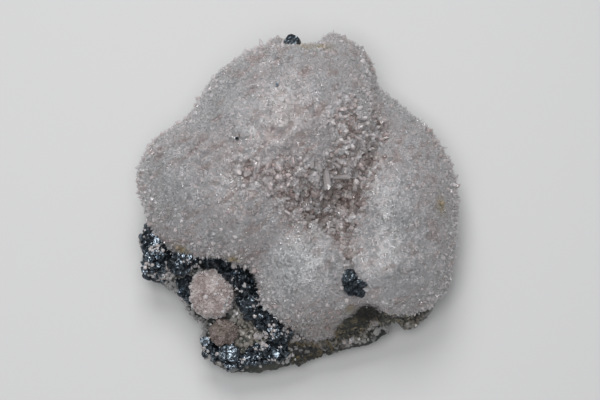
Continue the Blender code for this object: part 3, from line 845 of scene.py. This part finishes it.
def off_the_crack(places):
    """Distance of places from the crack's line, seen from above."""
    nearest = np.full(len(places), 1.0)
    for start, end in zip(CRACK, CRACK[1:]):
        start, along = np.array(start), np.array(end) - np.array(start)
        share = np.clip(((places[:, :2] - start) @ along) / (along @ along), 0.0, 1.0)
        away = np.linalg.norm(places[:, :2] - start - share[:, None] * along, axis=1)
        nearest = np.minimum(nearest, away)
    return nearest


def sugar_gap(places, ways):
    """The gaps of the grains: over the shelf and the fringe, but not underneath or in the crack."""
    cover = within(places, SUGAR_AT) + within(places, FRINGE_AT) + 0.25 * lumpy(places, 0.003, 2.0)
    shown = (cover > 0.22) & (ways[:, 2] > -0.2) & (off_the_crack(places) > CRACK_WIDTH)
    return np.where(shown, SUGAR_GAP, 0.0)


places, ways, _ = strewn(rock_skin, sugar_gap, SUGAR_SEED, SUGAR_TRIES)
chance = np.random.default_rng(SUGAR_SEED)
sizes = SUGAR_RADIUS * np.exp(chance.normal(0.0, 0.28, len(places)))
tan = np.clip(within(places, TAN_AT) * 1.3 + 0.3 * lumpy(places, 0.002, 6.0), 0.0, 1.0)
pale = 0.50 + 0.7 * lumpy(places, 0.0022, 3.0)
pale += 0.4 * within(places, PALE_AT) - 0.45 * within(places, FRINGE_AT)
pale = np.clip(pale, 0.0, 1.0)
sugar_finish = Finish("sugary_grain_finish", roughness=0.25, transmission_weight=0.15, ior=1.544)
sugar_colour = sugar_finish.mix(sugar_finish.trait("pale"), SUGAR_DARK, SUGAR_PALE)
sugar_colour = sugar_finish.mix(sugar_finish.trait("tan") * 0.55, sugar_colour, SUGAR_TAN)
sugar_finish.put("Base Color", sugar_colour)
mesh = grown(quartz_prism(0.4), places, ways, sizes, sizes * 1.3, lean=0.5, seed=SUGAR_SEED, tan=tan,
             pale=pale)
piece_from(mesh, "sugary_grains", sugar_finish, "vein_rock")

# Apron points. Below the middle lobe the milky quartz points run on down over the rock to its lower edge,
# and end there in grey and rust, which are partly painted shade along that edge.

APRON_GAP, APRON_SIZE, APRON_TRIES, APRON_SEED = 0.00078, 0.00068, 90000, 32
APRON_EDGE, APRON_EDGE_WIDTH = -0.0412, 0.0025
APRON_AT = (
    ((-0.0030, -0.0400, 0.015), 0.007), ((0.0030, -0.0410, 0.015), 0.009),
    ((0.0090, -0.0400, 0.015), 0.008), ((0.0030, -0.0440, 0.010), 0.008),
    ((0.0130, -0.0385, 0.016), 0.006),
)


def apron_gap(places, ways):
    """The gaps of the points: over the apron, but not underneath."""
    shown = (within(places, APRON_AT) + 0.2 * lumpy(places, 0.003, 2.5) > 0.15) & (ways[:, 2] > -0.3)
    return np.where(shown, APRON_GAP, 0.0)


places, ways, _ = strewn(rock_skin, apron_gap, APRON_SEED, APRON_TRIES)
chance = np.random.default_rng(APRON_SEED)
count = len(places)
sizes = APRON_SIZE * np.exp(chance.normal(0.0, 0.25, count))
# Greyer, browner and rust-stained towards the lower edge: rock and rust, partly painted shade
rust_and_shade_at_edge = np.clip((APRON_EDGE - places[:, 1]) / APRON_EDGE_WIDTH, 0.0, 1.0)
pink = 0.3 * chance.random(count)
grey = 0.6 + 0.4 * rust_and_shade_at_edge + chance.normal(0.0, 0.2, count)
brown = 0.15 + 0.4 * rust_and_shade_at_edge + 0.3 * lumpy(places, 0.003, 6.0)
gloss = (chance.random(count) < 0.3) * 1.0
stain = 1.6 * rust_and_shade_at_edge + 0.6 * lumpy(places, 0.0026, 4.0) - 0.3
traits = {"pink": pink, "grey": grey, "brown": brown, "gloss": gloss, "soft": np.full(count, 0.3),
          "stain": stain}
traits = {name: np.clip(values, 0.0, 1.0) for name, values in traits.items()}
mesh = grown(quartz_prism(0.45), places, ways, sizes, sizes * 1.7, lean=0.3, seed=APRON_SEED, **traits)
piece_from(mesh, "apron_points", milky_finish, "drusy_crust")

# Table and light. A plain pale table under two large soft lamps, one beyond the upper edge and one nearly
# overhead, in a dim pale room. The camera looks down on the specimen as the photograph does.

TABLE_SIZE, TABLE_GREY = 1.5, (0.68, 0.68, 0.68, 1.0)
VIEW_CENTRE = Vector((0.0005, -0.0011, 0.025))
CAMERA_RISE = math.radians(78.0)
CAMERA_AWAY = 0.5
ROOM_COLOUR, ROOM_STRENGTH = (0.93, 0.96, 1.0, 1.0), 0.18
LAMPS = (
    ("soft_key", (-0.05, 0.30, 0.55), 0.30, 1.7),
    ("top_light", (-0.05, -0.10, 0.65), 0.30, 2.1),
)

table_mesh = bmesh.new()
bmesh.ops.create_grid(table_mesh, x_segments=1, y_segments=1, size=TABLE_SIZE)
table_data = bpy.data.meshes.new("table")
table_mesh.to_mesh(table_data)
table_mesh.free()
table_finish = Finish("table_finish", roughness=0.9, base_color=TABLE_GREY)
table_data.materials.append(table_finish.material)
table = bpy.data.objects.new("table", table_data)
bpy.context.scene.collection.objects.link(table)

for name, place, size, power in LAMPS:
    lamp_data = bpy.data.lights.new(name, "AREA")
    lamp_data.size = size
    lamp_data.energy = power
    lamp = bpy.data.objects.new(name, lamp_data)
    lamp.location = place
    lamp.rotation_euler = (VIEW_CENTRE - Vector(place)).to_track_quat("-Z", "Y").to_euler()
    bpy.context.scene.collection.objects.link(lamp)

world = bpy.data.worlds.new("studio")
world.use_nodes = True
room = world.node_tree.nodes["Background"].inputs
room["Color"].default_value = ROOM_COLOUR
room["Strength"].default_value = ROOM_STRENGTH
bpy.context.scene.world = world
bpy.context.scene.view_settings.view_transform = "Standard"

camera_data = bpy.data.cameras.new("camera")
camera_data.lens = 100.0
camera_data.sensor_width = 36.0
camera = bpy.data.objects.new("camera", camera_data)
back = Vector((0.0, -math.cos(CAMERA_RISE), math.sin(CAMERA_RISE)))
camera.location = VIEW_CENTRE + CAMERA_AWAY * back
camera.rotation_euler = (-back).to_track_quat("-Z", "Y").to_euler()
bpy.context.scene.collection.objects.link(camera)
bpy.context.scene.camera = camera
